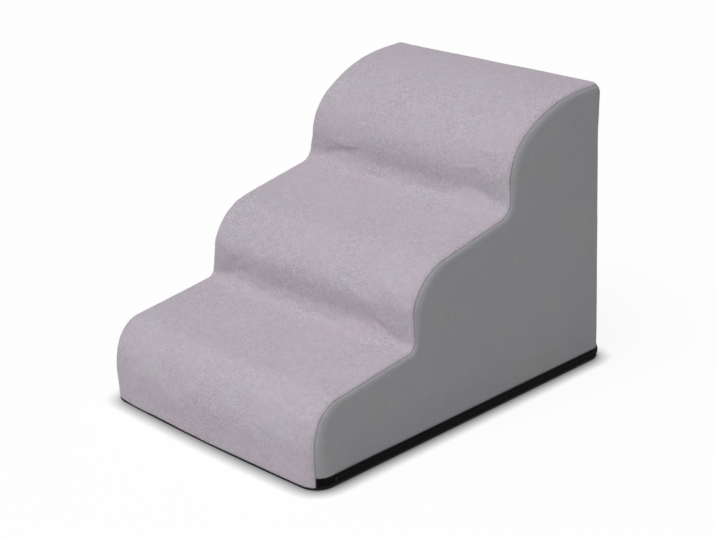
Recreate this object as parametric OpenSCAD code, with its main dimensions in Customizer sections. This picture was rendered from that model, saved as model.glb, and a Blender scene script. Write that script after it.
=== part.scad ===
// Pet stairs with three steps: a foam block in a sewn cover that unzips along its foot.
// Millimetres. +Z is up, the first riser faces -Y, and the origin is the middle of the foot, on the floor.

/* [Steps] */
// Overall width at the foot, across the zip on both sides
stair_w = 432; // [340:4:540]
// Depth of the first tread, from its riser to the next
first_tread = 190; // [160:5:240]
// Depth of the second tread, from its riser to the next
second_tread = 199; // [160:5:240]
// Depth of the top tread, from its riser to the back
third_tread = 205; // [170:5:260]
// Height of the first tread where it meets the next riser
first_rise = 136; // [115:1:170]
// Height of the second tread above the first, both at their back
second_rise = 138; // [120:1:170]
// Height of the top tread above the second, both at their back
third_rise = 146; // [125:1:180]

/* [Noses] */
// Radius of the first nose above its riser
first_nose_r = 106; // [80:1:120]
// Radius of the first nose where it runs into the tread
first_crest_r = 50; // [40:1:70]
// Turn of the first nose at its lower radius, in degrees
first_nose_turn = 23; // [10:1:40]
// Rise of the first tread towards its back, in degrees
first_slope = 7.5; // [0:0.5:10]
// Radius of the second nose above its riser
second_nose_r = 44; // [30:1:60]
// Radius of the second nose where it runs into the tread
second_crest_r = 86; // [60:1:100]
// Turn of the second nose at its lower radius, in degrees
second_nose_turn = 26; // [10:1:40]
// Rise of the second tread towards its back, in degrees
second_slope = 11.5; // [0:0.5:12]
// Radius of the top nose above its riser
third_nose_r = 85; // [60:1:100]
// Radius of the top nose where it runs into the tread
third_crest_r = 226; // [180:1:240]
// Turn of the top nose at its lower radius, in degrees
third_nose_turn = 56; // [40:1:60]
// Rise of the top tread towards its back, in degrees
third_slope = 2.5; // [0:0.5:5]
// Radius of the hollow between the first tread and the second riser
first_hollow_r = 12; // [8:1:30]
// Radius of the hollow between the second tread and the third riser
second_hollow_r = 22; // [8:1:30]
// Radius of the top back edge
top_back_r = 15; // [13:1:25]

/* [Cover] */
// Thickness of the plush on the steps, with its pile
plush_t = 2.5; // [1.5:0.1:4]
// Thickness of the smooth side and back fabric
fabric_t = 1.2; // [0.8:0.1:1.6]
// Lean of the sides towards the top, in degrees from upright
side_lean = 2.2; // [0:0.1:4]
// Rounding of the cover along the seams of the treads
edge_r = 10; // [8:1:12]
// Rounding of the cover along the seams of the noses, where the cloth pulls the foam's edge round
nose_edge_r = 17; // [12:1:22]
// Rounding of the upright back corners near the top
shoulder_r = 18; // [12:1:24]
// Height over which the back corners narrow to the steps' rounding, below the top back edge
shoulder_h = 60; // [40:5:90]
// Rounding of the upright corners at the foot
foot_r = 28; // [20:1:40]
// Place of the side seams on the rounding, in degrees from the side
seam_turn = 45; // [35:1:60]
// Width of the groove where two panels are sewn together
seam_gap = 0.4; // [0.2:0.1:0.6]
// Bulge of the risers at mid width
front_crown = 4; // [0:0.5:8]
// Space between the cover and the foam
foam_gap = 0.3; // [0.2:0.1:0.5]

/* [Base] */
// Thickness of the base fabric with its lining
base_t = 2; // [1.5:0.1:3]
// Height of the base fabric turned up behind the zip
rim_h = 2; // [1.5:0.1:2.2]
// Diameter of a grip dot
dot_d = 6; // [3:0.5:10]
// Height of a grip dot
dot_h = 1; // [0.6:0.1:1.5]
// Distance between grip dots
dot_pitch = 32; // [24:1:60]
// Distance of the outer grip dots from the edge of the base, at least
dot_margin = 14; // [8:1:30]

/* [Zip] */
// Height of each zip tape between its sewn edge and the gap at the chain
tape_w = 5.7; // [5:0.1:8]
// Thickness of a zip tape
tape_t = 0.6; // [0.4:0.1:0.8]
// Gap between the two tapes behind the coils
tape_gap = 2.6; // [2.2:0.1:3]
// Width of the two closed coils together
chain_w = 6; // [5:0.1:7]
// Thickness of the coils outside the tapes
coil_t = 1.4; // [1:0.1:2]
// Height of the panels' hem that the upper tape laps over
hem_h = 2; // [1.5:0.1:2.2]
// Length of chain that is left out past the rounding at both front ends
chain_inset = 8; // [4:1:30]
// Length of a top stop
top_stop_l = 2.4; // [2:0.1:3]
// Length of the bottom stop
bottom_stop_l = 4; // [3:0.1:6]

/* [Slider] */
// Length of the slider
slider_l = 12; // [11:0.5:14]
// Width of the slider across the chain
slider_w = 9.4; // [9:0.1:9.4]
// Width of the slider's tail
slider_tail_w = 8.4; // [8:0.1:9]
// Thickness of each slider plate
slider_plate_t = 0.9; // [0.7:0.05:0.95]
// Rounding of the slider's corners, seen from outside
slider_corner_r = 1.8; // [1:0.1:2.5]
// Length of the wedge that parts the two coils
wedge_l = 3.5; // [3:0.1:4]
// Length of the bridge that holds the pull
bridge_l = 7.2; // [7:0.1:7.6]
// Width of the bridge
bridge_w = 2.4; // [2:0.1:2.6]
// Thickness of the bridge
bridge_t = 0.9; // [0.7:0.1:1]

/* [Pull] */
// Length of the pull from its pin to its tip
pull_l = 27; // [20:0.5:32]
// Width of the pull
pull_w = 6.6; // [6.2:0.1:8]
// Diameter of the pull's pin and thickness of the pull
pull_t = 1.2; // [1:0.1:1.4]
// Length of the pull's window, from the pin's axis
window_l = 4.8; // [4.7:0.1:5.2]

/* [Hidden] */

plush_colour = "#b6acb5";
side_colour = "#7b7b7d";
black_colour = "#151517";
metal_colour = "#26262a";
foam_colour = "#e6dfc4";

// Turn of one facet of a round stretch of the steps, in degrees
facet_turn = 9;
// Facets of a round piece
round_facets = 32;
// Overrun of every cut
over = 1;
// Clearance between the slider and the chain, and round the pull's pin
slide_gap = 0.2;
// Clearance between the bridge and the sides of the pull's window
window_gap = 0.4;
// Space between a zip tape and the fabric that it is sewn to
lap_gap = 0.1;
// Places of the cover's cross sections between the side roundings, as shares of the half width
crown_shares = [1, 0.6, 0, -0.6, -1];
// Rounding of the first riser's side edges where its nose starts, between the steps' and the foot's
blend_share = 0.5;

rise = [first_rise, first_rise + second_rise, first_rise + second_rise + third_rise];
slope = [first_slope, second_slope, third_slope];
nose_r = [first_nose_r, second_nose_r, third_nose_r];
crest_r = [first_crest_r, second_crest_r, third_crest_r];
nose_end = [180 - first_nose_turn, 180 - second_nose_turn, 180 - third_nose_turn];
hollow_r = [first_hollow_r, second_hollow_r];

zip_proud = lap_gap + tape_t + coil_t;
body_half = stair_w / 2 - zip_proud;
stair_d = front_crown + first_tread + second_tread + third_tread + zip_proud;
front_y = front_crown - stair_d / 2;
back_y = stair_d / 2 - zip_proud;
riser_y = [front_y, front_y + first_tread, front_y + first_tread + second_tread, back_y];

base_top = dot_h + base_t;
chain_z = base_top + tape_w + tape_gap / 2;
zip_top = chain_z + tape_gap / 2 + tape_w;
hem_z = zip_top - hem_h;
tape_out = lap_gap + tape_t;

// Turns of the cover's side rounding: the side's part, and the part between the seam and the treads
side_turns = [0, seam_turn / 2];
upper_turn = (seam_turn + 90) / 2;
// Half of the groove's width, as a turn of the top back edge
groove_turn = seam_gap / 2 / top_back_r * 180 / PI;
// Turns of the plan's front corner beyond the seam, and of a whole back corner
front_turns = [seam_turn, seam_turn / 2, 0];
corner_turns = [0, seam_turn / 2, seam_turn, upper_turn, 90];

corner_x = body_half - foot_r;
front_corner_y = front_y + foot_r;
back_corner_y = back_y - foot_r;
chain_front_y = front_corner_y + chain_inset;

slider_y = chain_front_y + slider_l / 2;
wedge_front_y = slide_gap - slider_l / 2 + top_stop_l / 2;
wedge_back_y = wedge_front_y + wedge_l;
plate_in_x = tape_t + coil_t + slide_gap;
plate_out_x = plate_in_x + slider_plate_t;
pin_x = plate_out_x + slide_gap + pull_t / 2;
bridge_in_x = pin_x + pull_t / 2 + slide_gap;

// Points of an arc: centre, radius and a list of angles
function arc_points(centre, r, angles) = [for (a = angles) centre + r * [cos(a), sin(a)]];

function reversed(list) = [for (i = [len(list) - 1 : -1 : 0]) list[i]];

// Angles from one to another in equal steps of about facet_turn
function steps(from, to) =
    let (n = max(1, ceil(abs(to - from) / facet_turn)))
    [for (i = [0 : n]) from + (to - from) * i / n];

// Line points of the steps' side outline. Each is y, z, the outward normal's y and z, and the
// rounding of the cover's side edge there. A bump turns round a centre inside, a hollow outside.
function bump(centre, r, angles, edge_from, edge_to) = [
    for (i = [0 : len(angles) - 1])
    let (a = angles[i], share = i / (len(angles) - 1))
    [centre.x + r * cos(a), centre.y + r * sin(a), cos(a), sin(a), edge_from + (edge_to - edge_from) * share]
];

function hollow(centre, r, angles) = [
    for (a = angles) [centre.x - r * cos(a), centre.y - r * sin(a), cos(a), sin(a), edge_r]
];

// Height at y of a line that runs parallel to tread k, that far above it
function tread_z(k, y, above) = rise[k] - (riser_y[k + 1] - y) * tan(slope[k]) + above / cos(slope[k]);

function nose(k) =
    let (
        turned = [cos(nose_end[k]), sin(nose_end[k])],
        shift = nose_r[k] - crest_r[k],
        crest_y = riser_y[k] + nose_r[k] + shift * turned.x,
        crest = [crest_y, tread_z(k, crest_y, -crest_r[k])],
        low = crest - shift * turned,
        low_edge = k == 0 ? nose_edge_r + (foot_r - nose_edge_r) * blend_share : nose_edge_r,
        crest_angles = steps(nose_end[k], 90 + slope[k])
    )
    concat(
        bump(low, nose_r[k], steps(180, nose_end[k]), low_edge, nose_edge_r),
        bump(crest, crest_r[k], [for (i = [1 : len(crest_angles) - 1]) crest_angles[i]], nose_edge_r, edge_r)
    );

function step_hollow(k) =
    let (y = riser_y[k + 1] - hollow_r[k])
    hollow([y, tread_z(k, y, hollow_r[k])], hollow_r[k], steps(90 + slope[k], 180));

// The cover's side outline, from the foot of the first riser over the steps to the top back edge
function steps_line(foot) =
    let (y = back_y - top_back_r)
    concat(
        [[front_y, foot, -1, 0, foot_r], [front_y, zip_top, -1, 0, foot_r]],
        nose(0), step_hollow(0), nose(1), step_hollow(1), nose(2),
        bump(
            [y, tread_z(2, y, -top_back_r)],
            top_back_r,
            steps(90 + slope[2], seam_turn + groove_turn),
            edge_r,
            edge_r
        )
    );

// The rest of the outline, from the top back edge down the back
function back_line(foot) =
    let (y = back_y - top_back_r, z = tread_z(2, y, -top_back_r))
    concat(
        bump([y, z], top_back_r, steps(seam_turn - groove_turn, 0), edge_r, edge_r),
        [
            [back_y, z - shoulder_h, 1, 0, shoulder_r],
            [back_y, zip_top, 1, 0, foot_r],
            [back_y, foot, 1, 0, foot_r]
        ]
    );

// The whole outline; its last and first points close it along the foot
function whole_line(foot) =
    let (back = back_line(foot))
    concat(steps_line(foot), [for (i = [1 : len(back) - 1]) back[i]]);

// Half of the cover's width at height z, where the sides lean inwards from their hem up
function half_at(z) = body_half - max(0, z - hem_z) * tan(side_lean);

// The y and z of an outline point moved inwards by depth and, where it faces forwards, outwards by the crown
function moved(p, depth, crown) =
    let (out = crown * max(0, -p[2]) - depth)
    [p[0] + p[2] * out, p[1] + p[3] * out];

// Cross section on a side's rounding, that deep below the cover. turn is 0 at the side and 90 at the
// treads, and gap moves it round.
function round_ring(line, side, turn, gap, depth) = [
    for (p = line)
    let (
        a = turn + gap / p[4] * 180 / PI,
        r = p[4] - depth,
        q = moved(p, depth + r * (1 - sin(a)), 0)
    )
    [side * (half_at(q.y) - depth - r * (1 - cos(a))), q.x, q.y]
];

// Cross section between the roundings, at a share of the half width there
function flat_ring(line, share, depth) = [
    for (p = line)
    let (q = moved(p, depth, front_crown * (1 - share * share)))
    [share * (half_at(q.y) - p[4]), q.x, q.y]
];

function flat_rings(line, depth) = [for (share = crown_shares) flat_ring(line, share, depth)];

// Cross sections of a panel that runs from side seam to side seam
function strip_rings(line, depth) = concat(
    [round_ring(line, 1, seam_turn, seam_gap / 2, depth)],
    [round_ring(line, 1, upper_turn, 0, depth)],
    flat_rings(line, depth),
    [round_ring(line, -1, upper_turn, 0, depth)],
    [round_ring(line, -1, seam_turn, seam_gap / 2, depth)]
);

// Cross sections of the right side panel, from its flat face to its seam
function side_rings(line, depth) = concat(
    [for (turn = side_turns) round_ring(line, 1, turn, 0, depth)],
    [round_ring(line, 1, seam_turn, -seam_gap / 2, depth)]
);

function joined(lists) = [for (list = lists) for (item = list) item];

// Two triangles for each square of a grid of rows, the other way round if flipped
function grid_faces(rows, columns, start, flipped) = [
    for (k = [0 : rows - 2]) for (i = [0 : columns - 2])
    let (
        a = start + k * columns + i,
        b = a + 1,
        c = a + columns + 1,
        d = a + columns
    )
    each flipped ? [[a, b, c], [a, c, d]] : [[a, c, b], [a, d, c]]
];

// The point of a flat side face from which its whole outline can be seen, behind the last riser
function hub(ring) =
    let (z = first_rise / 2, lean = half_at(ring[0].z) - half_at(z))
    [ring[0].x - sign(ring[0].x) * lean, (riser_y[2] + back_y) / 2, z];

// Triangles from a hub to each stretch of a closed ring of numbered points
function fan(centre, ring, flipped) = [
    for (i = [0 : len(ring) - 1])
    let (a = ring[i], b = ring[(i + 1) % len(ring)])
    flipped ? [centre, b, a] : [centre, a, b]
];

// A fabric panel between an outer and an inner grid of rings. The first ring of a capped panel is
// filled in as a flat face, and the others run round it from its foot to its foot.
module panel(outer, inner, capped) {
    rows = len(outer);
    columns = len(outer[0]);
    inside = rows * columns;
    last = rows - 1;
    far_side = [for (i = [0 : columns - 1]) last * columns + i];
    end_up = [for (k = [last - 1 : -1 : 0]) k * columns + columns - 1];
    near_side = capped ? [] : [for (i = [columns - 2 : -1 : 1]) i];
    end_down = [for (k = [0 : last - 1]) k * columns];
    rim = concat(far_side, end_up, near_side, end_down);
    walls = [
        for (j = [0 : len(rim) - 1])
        let (a = rim[j], b = rim[(j + 1) % len(rim)])
        each [[a, b + inside, b], [a, a + inside, b + inside]]
    ];
    hubs = capped ? [hub(outer[0]), hub(inner[0])] : [];
    outer_cap = capped ? fan(2 * inside, [for (i = [0 : columns - 1]) i], false) : [];
    inner_cap = capped ? fan(2 * inside + 1, [for (i = [0 : columns - 1]) inside + i], true) : [];
    polyhedron(
        concat(joined(concat(outer, inner)), hubs),
        concat(
            grid_faces(rows, columns, 0, false),
            grid_faces(rows, columns, inside, true),
            walls,
            outer_cap,
            inner_cap
        )
    );
}

// A solid block through a row of closed rings, with flat faces at both ends
module block(rings) {
    rows = len(rings);
    columns = len(rings[0]);
    closed = [for (ring = rings) concat(ring, [ring[0]])];
    width = columns + 1;
    final = (rows - 1) * width;
    polyhedron(
        concat(joined(closed), [hub(rings[0]), hub(rings[rows - 1])]),
        concat(
            grid_faces(rows, width, 0, false),
            fan(rows * width, [for (i = [0 : columns - 1]) i], false),
            fan(rows * width + 1, [for (i = [0 : columns - 1]) final + i], true)
        )
    );
}

// The plan of the foot from the right front seam round the back to the left front seam, moved outwards
function u_path(out) = concat(
    arc_points([corner_x, front_corner_y], foot_r + out, -front_turns),
    arc_points([corner_x, back_corner_y], foot_r + out, corner_turns),
    arc_points([-corner_x, back_corner_y], foot_r + out, [for (a = reversed(corner_turns)) 180 - a]),
    arc_points([-corner_x, front_corner_y], foot_r + out, [for (a = reversed(front_turns)) 180 + a])
);

// The plan of the foot along the first riser, from the left seam to the right
function front_path() =
    let (half = corner_x, ends = [seam_turn, upper_turn, 90])
    concat(
        arc_points([-half, front_corner_y], foot_r, [for (a = ends) 180 + a]),
        [
            for (i = [len(crown_shares) - 2 : -1 : 1])
            let (share = crown_shares[i])
            [share * half, front_y - front_crown * (1 - share * share)]
        ],
        arc_points([half, front_corner_y], foot_r, [for (a = reversed(ends)) -a])
    );

// The plan of the chain, which ends on the straight sides
function chain_path(out, left_end) = concat(
    [[body_half + out, chain_front_y]],
    arc_points([corner_x, back_corner_y], foot_r + out, corner_turns),
    arc_points([-corner_x, back_corner_y], foot_r + out, [for (a = reversed(corner_turns)) 180 - a]),
    [[-body_half - out, left_end]]
);

// A wall of even thickness between two like paths
module wall(outer, inner, z, h) {
    translate([0, 0, z])
    linear_extrude(h)
    polygon(concat(outer, reversed(inner)));
}

module foam_core() {
    line = whole_line(base_top);
    side_depth = fabric_t + foam_gap;
    depth = plush_t + foam_gap;
    seam_turns = [seam_turn, upper_turn];
    color(foam_colour)
    block(concat(
        [for (turn = side_turns) round_ring(line, 1, turn, 0, side_depth)],
        [for (turn = seam_turns) round_ring(line, 1, turn, 0, depth)],
        flat_rings(line, depth),
        [for (turn = reversed(seam_turns)) round_ring(line, -1, turn, 0, depth)],
        [for (turn = reversed(side_turns)) round_ring(line, -1, turn, 0, side_depth)]
    ));
}

module tread_panel() {
    line = steps_line(base_top);
    color(plush_colour)
    panel(strip_rings(line, 0), strip_rings(line, plush_t), false);
}

module back_panel() {
    line = back_line(hem_z);
    color(side_colour)
    panel(strip_rings(line, 0), strip_rings(line, fabric_t), false);
}

module right_side_panel() {
    line = whole_line(hem_z);
    color(side_colour)
    panel(side_rings(line, 0), side_rings(line, fabric_t), true);
}

module left_side_panel() {
    mirror([1, 0, 0]) right_side_panel();
}

// Grip dots in rows, as many as fit inside the margin
module grip_dots() {
    columns = floor((body_half - dot_margin) / dot_pitch);
    rows = floor((back_y - dot_margin) / dot_pitch);
    for (i = [-columns : columns])
        for (j = [-rows : rows])
            translate([i * dot_pitch, j * dot_pitch, 0])
            cylinder(h = dot_h + base_t / 2, d = dot_d, $fn = round_facets);
}

module base_panel() {
    color(black_colour)
    union() {
        translate([0, 0, dot_h])
        linear_extrude(base_t)
        polygon(concat(u_path(tape_out), front_path()));
        wall(u_path(0), u_path(-fabric_t), dot_h, base_t + rim_h);
        grip_dots();
    }
}

module zip_tape(z) {
    color(black_colour)
    wall(u_path(tape_out), u_path(lap_gap), z, tape_w);
}

module zip_upper_tape() {
    zip_tape(chain_z + tape_gap / 2);
}

module zip_lower_tape() {
    zip_tape(base_top);
}

// One coil, drawn as the space that its turns fill; it ends in the slider
module zip_coil(z) {
    left_end = slider_y + wedge_back_y + slide_gap;
    color(black_colour)
    wall(chain_path(zip_proud, left_end), chain_path(tape_out, left_end), z, chain_w / 2);
}

module zip_upper_coil() {
    zip_coil(chain_z);
}

module zip_lower_coil() {
    zip_coil(chain_z - chain_w / 2);
}

// A stop at the left end of each coil, on the edge of its tape, inside the slider's mouth
module zip_top_stops() {
    stop_h = (chain_w - tape_gap) / 2;
    color(metal_colour)
    for (z = [tape_gap / 2, -tape_gap / 2 - stop_h])
        translate([-body_half - zip_proud, chain_front_y - top_stop_l / 2, chain_z + z])
        cube([coil_t, top_stop_l, stop_h]);
}

// One block across both coils, at the right end of the chain
module zip_bottom_stop() {
    color(metal_colour)
    translate([body_half + tape_out, chain_front_y - bottom_stop_l, chain_z - chain_w / 2])
    cube([coil_t, bottom_stop_l, chain_w]);
}

// Places a piece on the left side at the chain, with +X outwards from the back of the tapes
module on_chain() {
    translate([-body_half - lap_gap, slider_y, chain_z])
    mirror([1, 0, 0])
    children();
}

// A flat piece seen from outside: its sketch's X is along the chain and its Y is up
module facing_out(x, t) {
    translate([x, 0, 0])
    rotate([90, 0, 90])
    linear_extrude(t)
    children();
}

// The slider's outline, wide at its mouth, which is its -Y end
module slider_sketch() {
    hull()
    for (side = [-1, 1]) {
        translate([slider_corner_r - slider_l / 2, side * (slider_w / 2 - slider_corner_r)])
        circle(slider_corner_r, $fn = round_facets);
        translate([slider_l / 2 - slider_corner_r, side * (slider_tail_w / 2 - slider_corner_r)])
        circle(slider_corner_r, $fn = round_facets);
    }
}

module slider_bridge() {
    outer_h = bridge_in_x + bridge_t - plate_in_x;
    inner_l = bridge_l - 2 * bridge_t;
    translate([plate_in_x, 0, -bridge_w / 2])
    linear_extrude(bridge_w)
    difference() {
        union() {
            translate([0, -bridge_l / 2])
            square([outer_h - bridge_t, bridge_l]);
            translate([0, -inner_l / 2])
            square([outer_h, inner_l]);
            for (side = [-1, 1])
                translate([outer_h - bridge_t, side * inner_l / 2])
                circle(bridge_t, $fn = round_facets);
        }
        translate([slider_plate_t, -inner_l / 2])
        square([bridge_in_x - plate_out_x, inner_l]);
    }
}

module zip_slider() {
    channel_w = chain_w + 2 * slide_gap;
    flange_in_x = tape_t + slide_gap;
    wedge_w = tape_gap - 3 * slide_gap;
    color(metal_colour)
    on_chain()
    union() {
        facing_out(-slide_gap - slider_plate_t, slider_plate_t) slider_sketch();
        facing_out(plate_in_x, slider_plate_t) slider_sketch();
        facing_out(flange_in_x, plate_out_x - flange_in_x)
        difference() {
            slider_sketch();
            translate([-slider_l / 2 - over, -channel_w / 2])
            square([slider_l + 2 * over, channel_w]);
        }
        facing_out(-slide_gap - slider_plate_t, plate_out_x + slide_gap + slider_plate_t)
        polygon([
            [wedge_front_y, -wedge_w / 2],
            [wedge_back_y - wedge_w / 2, -wedge_w / 2],
            [wedge_back_y, 0],
            [wedge_back_y - wedge_w / 2, wedge_w / 2],
            [wedge_front_y, wedge_w / 2]
        ]);
        slider_bridge();
    }
}

module zip_pull() {
    window_w = bridge_w + 2 * window_gap;
    tip_r = pull_w / 2;
    color(metal_colour)
    on_chain()
    union() {
        facing_out(pin_x - pull_t / 2, pull_t)
        difference() {
            union() {
                translate([0, -tip_r])
                square([pull_l - tip_r, pull_w]);
                translate([pull_l - tip_r, 0])
                circle(tip_r, $fn = round_facets);
            }
            translate([-over, -window_w / 2])
            square([window_l + over, window_w]);
        }
        translate([pin_x, 0, -pull_w / 2])
        cylinder(h = pull_w, d = pull_t, $fn = round_facets);
    }
}

foam_core();
tread_panel();
left_side_panel();
right_side_panel();
back_panel();
base_panel();
zip_upper_tape();
zip_lower_tape();
zip_upper_coil();
zip_lower_coil();
zip_top_stops();
zip_bottom_stop();
zip_slider();
zip_pull();
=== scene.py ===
# Looks of the pet stairs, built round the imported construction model. Metres, in the model's own frame.
import math

import bmesh
import bpy
from mathutils import Matrix, Vector, kdtree, noise


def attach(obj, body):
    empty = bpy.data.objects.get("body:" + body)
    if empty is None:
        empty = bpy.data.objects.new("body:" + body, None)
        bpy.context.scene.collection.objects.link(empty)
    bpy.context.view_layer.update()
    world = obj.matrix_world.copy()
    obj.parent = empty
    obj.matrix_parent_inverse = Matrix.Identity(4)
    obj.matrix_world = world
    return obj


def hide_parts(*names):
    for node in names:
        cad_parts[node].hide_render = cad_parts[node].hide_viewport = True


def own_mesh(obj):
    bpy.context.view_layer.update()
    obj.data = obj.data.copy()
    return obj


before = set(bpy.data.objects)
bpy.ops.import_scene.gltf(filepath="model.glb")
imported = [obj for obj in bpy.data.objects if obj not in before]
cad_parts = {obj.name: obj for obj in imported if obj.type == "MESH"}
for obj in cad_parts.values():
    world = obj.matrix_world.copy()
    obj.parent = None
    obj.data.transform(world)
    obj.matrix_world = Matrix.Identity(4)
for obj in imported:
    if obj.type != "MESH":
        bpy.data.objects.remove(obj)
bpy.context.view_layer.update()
MM = 0.001
# Keeps a division clear of zero
TINY = 1e-12

# Sizes of the construction model
STAIR_W = 432 * MM
TREADS = [190 * MM, 199 * MM, 205 * MM]
RISES = [136 * MM, 274 * MM, 420 * MM]
NOSE_R = [106 * MM, 44 * MM, 85 * MM]
CREST_R = [50 * MM, 86 * MM, 226 * MM]
NOSE_TURN = [math.radians(23), math.radians(26), math.radians(56)]
SLOPE = [math.radians(7.5), math.radians(11.5), math.radians(2.5)]
HOLLOW_R = [12 * MM, 22 * MM]
TOP_BACK_R = 15 * MM
PLUSH_T = 2.5 * MM
FABRIC_T = 1.2 * MM
SIDE_LEAN = math.radians(2.2)
EDGE_R = 10 * MM
NOSE_EDGE_R = 17 * MM
SHOULDER_R = 18 * MM
SHOULDER_H = 60 * MM
FOOT_R = 28 * MM
SEAM_TURN = math.radians(45)
SEAM_GAP = 0.4 * MM
FRONT_CROWN = 4 * MM
FOAM_GAP = 0.3 * MM
DOT_H = 1 * MM
BASE_T = 2 * MM
DOT_D = 6 * MM
DOT_PITCH = 32 * MM
DOT_MARGIN = 14 * MM
TAPE_W = 5.7 * MM
TAPE_T = 0.6 * MM
TAPE_GAP = 2.6 * MM
CHAIN_W = 6 * MM
COIL_T = 1.4 * MM
HEM_H = 2 * MM
CHAIN_INSET = 8 * MM
LAP_GAP = 0.1 * MM

# Places that follow from those sizes
TAPE_OUT = LAP_GAP + TAPE_T
ZIP_PROUD = TAPE_OUT + COIL_T
BODY_HALF = STAIR_W / 2 - ZIP_PROUD
STAIR_D = FRONT_CROWN + sum(TREADS) + ZIP_PROUD
FRONT_Y = FRONT_CROWN - STAIR_D / 2
BACK_Y = STAIR_D / 2 - ZIP_PROUD
RISER_Y = [FRONT_Y, FRONT_Y + TREADS[0], FRONT_Y + TREADS[0] + TREADS[1], BACK_Y]
BASE_TOP = DOT_H + BASE_T
CHAIN_Z = BASE_TOP + TAPE_W + TAPE_GAP / 2
ZIP_TOP = CHAIN_Z + TAPE_GAP / 2 + TAPE_W
HEM_Z = ZIP_TOP - HEM_H
CORNER_X = BODY_HALF - FOOT_R
FRONT_CORNER_Y = FRONT_Y + FOOT_R
BACK_CORNER_Y = BACK_Y - FOOT_R
CHAIN_FRONT_Y = FRONT_CORNER_Y + CHAIN_INSET

# A point well inside the stairs, that tells which side of a cover is its outside
INSIDE = Vector((0, 60 * MM, 140 * MM))

# Between the side seams the plush spans the hollows: they are rounder there, and fully so this far in
SPAN_R = [30 * MM, 34 * MM]
SPAN_IN = 70 * MM

# Fineness of the cloth: spacing of its lines along the steps, turn of one facet of a rounding and of a
# corner in plan, and the finer lines beside a sewn end, with some room after the last of them
CLOTH_STEP = 5.5 * MM
FACET = math.radians(4)
CORNER_FACET = math.radians(6)
HEM_LINES = [0.5 * MM, 1.1 * MM, 1.9 * MM, 3 * MM]
HEM_ROOM = 1.2

# How the cloth turns into its seams: how near the turn starts, how deep it goes, and how deep at most
# where two seams meet
TURN_W = 2.4 * MM
TURN_DEPTH = 1.1 * MM
TURN_MOST = 1.3 * MM
SIDE_TURN_W = 2.2 * MM
SIDE_TURN_DEPTH = 0.9 * MM

# Gathers beside a seam: their height, their distance from it, how far they spread, their size, that of
# their groups, and over what distance they rise. At the ends of the plush and in the tricot they are
# weaker, by these shares
GATHER_H = 1.5 * MM
GATHER_AT = 5 * MM
GATHER_REACH = 9 * MM
GATHER_SIZE = 11 * MM
GATHER_GROUP = 60 * MM
GATHER_START = 3 * MM
END_GATHERS = 0.5
TRICOT_GATHERS = 0.6

# Waves of each cloth: height, length and seed. The cloth lies calm this close to a seam or an end
PLUSH_WAVES = [(1.3 * MM, 95 * MM, 3), (0.5 * MM, 32 * MM, 5)]
BACK_WAVES = [(0.9 * MM, 110 * MM, 23)]
SIDE_WAVES = [(1.0 * MM, 120 * MM, 0), (0.3 * MM, 40 * MM, 2)]
CALM_SEAM = 14 * MM
CALM_END = 10 * MM

# The sides are drawn in a little above the zip: how far, at what height, and over what height
DRAWN_IN = 0.3 * MM
DRAWN_IN_Z = 22 * MM
DRAWN_IN_H = 12 * MM

# The seam at the foot of the first riser hangs down: the least, how much more in places, the length of
# these places, how high up the plush follows, and how it fades out past the front corners
HANG_LEAST = 0.4 * MM
HANG_MORE = 1.2 * MM
HANG_SIZE = 38 * MM
HANG_SEED = 61
HANG_UP = 12 * MM
HANG_PAST_CORNER = 14 * MM
HANG_FADE = 25 * MM


def limited(x):
    """x, but no less than 0 and no more than 1."""
    return max(0, min(1, x))


def eased(x):
    """From 0 to 1 with a soft start and a soft end."""
    x = limited(x)
    return x * x * (3 - 2 * x)


# Outline of the steps
def spread(start, end, facet=FACET):
    """Angles from start to end in equal steps of about one facet."""
    n = max(1, math.ceil(abs(end - start) / facet))
    return [start + (end - start) * i / n for i in range(n + 1)]


def bump(centre, radius, angles, edge_from=EDGE_R, edge_to=EDGE_R):
    """Stations y, z, outward normal y and z, side rounding, of an arc that bulges outwards."""
    last = max(1, len(angles) - 1)
    return [
        (
            centre[0] + radius * math.cos(a), centre[1] + radius * math.sin(a),
            math.cos(a), math.sin(a), edge_from + (edge_to - edge_from) * i / last,
        )
        for i, a in enumerate(angles)
    ]


def dip(centre, radius, angles):
    """Stations of the hollow between a tread and the next riser."""
    return [
        (centre[0] - radius * math.cos(a), centre[1] - radius * math.sin(a), math.cos(a), math.sin(a), EDGE_R)
        for a in angles
    ]


def tread_z(k, y, above):
    """Height at y of a line parallel to tread k, that far above it."""
    return RISES[k] - (RISER_Y[k + 1] - y) * math.tan(SLOPE[k]) + above / math.cos(SLOPE[k])


def nose(k):
    """Stations over the nose of step k: a tighter or wider arc off the riser, then the crest's arc."""
    end = math.pi - NOSE_TURN[k]
    shift = NOSE_R[k] - CREST_R[k]
    crest_y = RISER_Y[k] + NOSE_R[k] + shift * math.cos(end)
    crest = (crest_y, tread_z(k, crest_y, -CREST_R[k]))
    low = (crest[0] - shift * math.cos(end), crest[1] - shift * math.sin(end))
    low_edge = (NOSE_EDGE_R + FOOT_R) / 2 if k == 0 else NOSE_EDGE_R
    low_arc = bump(low, NOSE_R[k], spread(math.pi, end), low_edge, NOSE_EDGE_R)
    high_arc = bump(crest, CREST_R[k], spread(end, math.pi / 2 + SLOPE[k]), NOSE_EDGE_R, EDGE_R)
    return low_arc + high_arc[1:]


def hollow(k, radii):
    """Stations between tread k and the next riser."""
    y = RISER_Y[k + 1] - radii[k]
    centre = (y, tread_z(k, y, radii[k]))
    return dip(centre, radii[k], spread(math.pi / 2 + SLOPE[k], math.pi, FACET * 2))


def top_back(start, end):
    """Stations of the rounding between the top tread and the back."""
    y = BACK_Y - TOP_BACK_R
    return bump((y, tread_z(2, y, -TOP_BACK_R)), TOP_BACK_R, spread(start, end))


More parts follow.
